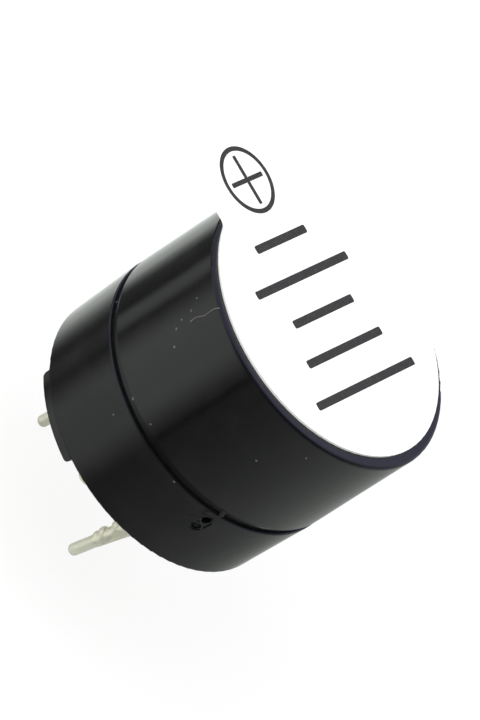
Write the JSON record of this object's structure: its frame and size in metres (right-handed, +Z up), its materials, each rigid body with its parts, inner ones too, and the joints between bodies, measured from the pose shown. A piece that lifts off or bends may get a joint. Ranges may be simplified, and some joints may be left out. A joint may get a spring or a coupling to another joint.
{
  "type": "active buzzer",
  "caption": "Round black moulded buzzer with a seamed case, a white film label with a pull tab over its sound hole, and leaning wire pins of unequal length.",
  "frame": {"origin": "middle of the seating plane under the stand-off feet, on the case's axis", "axes": "+Z up the case's axis towards the label, +X towards the positive pin"},
  "size_m": [0.0128, 0.0127, 0.0161],
  "materials": {
    "case_plastic": "moulded black thermoplastic, glossy",
    "label_film": "white film, smooth",
    "tinned_wire": "tinned wire, slightly dull",
    "solder": "solder, dull and lumpy",
    "board_laminate": "paper laminate, bare",
    "sealant_resin": "dark resin, cured",
    "yoke_steel": "zinc-plated steel",
    "magnet_ferrite": "sintered, dark grey",
    "copper_wire": "enamelled copper",
    "spring_steel": "rolled strip",
    "weight_brass": "turned",
    "component_mould": "moulded, matt"
  },
  "bodies": {
    "root": {"base_housing": "case_plastic", "upper_cap": "case_plastic", "seal_label": "label_film", "positive_pin": "tinned_wire", "negative_pin": "tinned_wire", "pin_solder": "solder", "lead_solder": "solder", "component_solder": "solder", "circuit_board": "board_laminate", "board_sealant": "sealant_resin", "yoke_plate": "yoke_steel", "iron_core": "yoke_steel", "ring_magnet": "magnet_ferrite", "coil_winding": "copper_wire", "coil_leads": "copper_wire", "diaphragm": "spring_steel", "diaphragm_weight": "weight_brass", "driver_transistor": "component_mould", "transistor_leads": "tinned_wire", "base_resistor": "component_mould"}
  },
  "joints": []
}
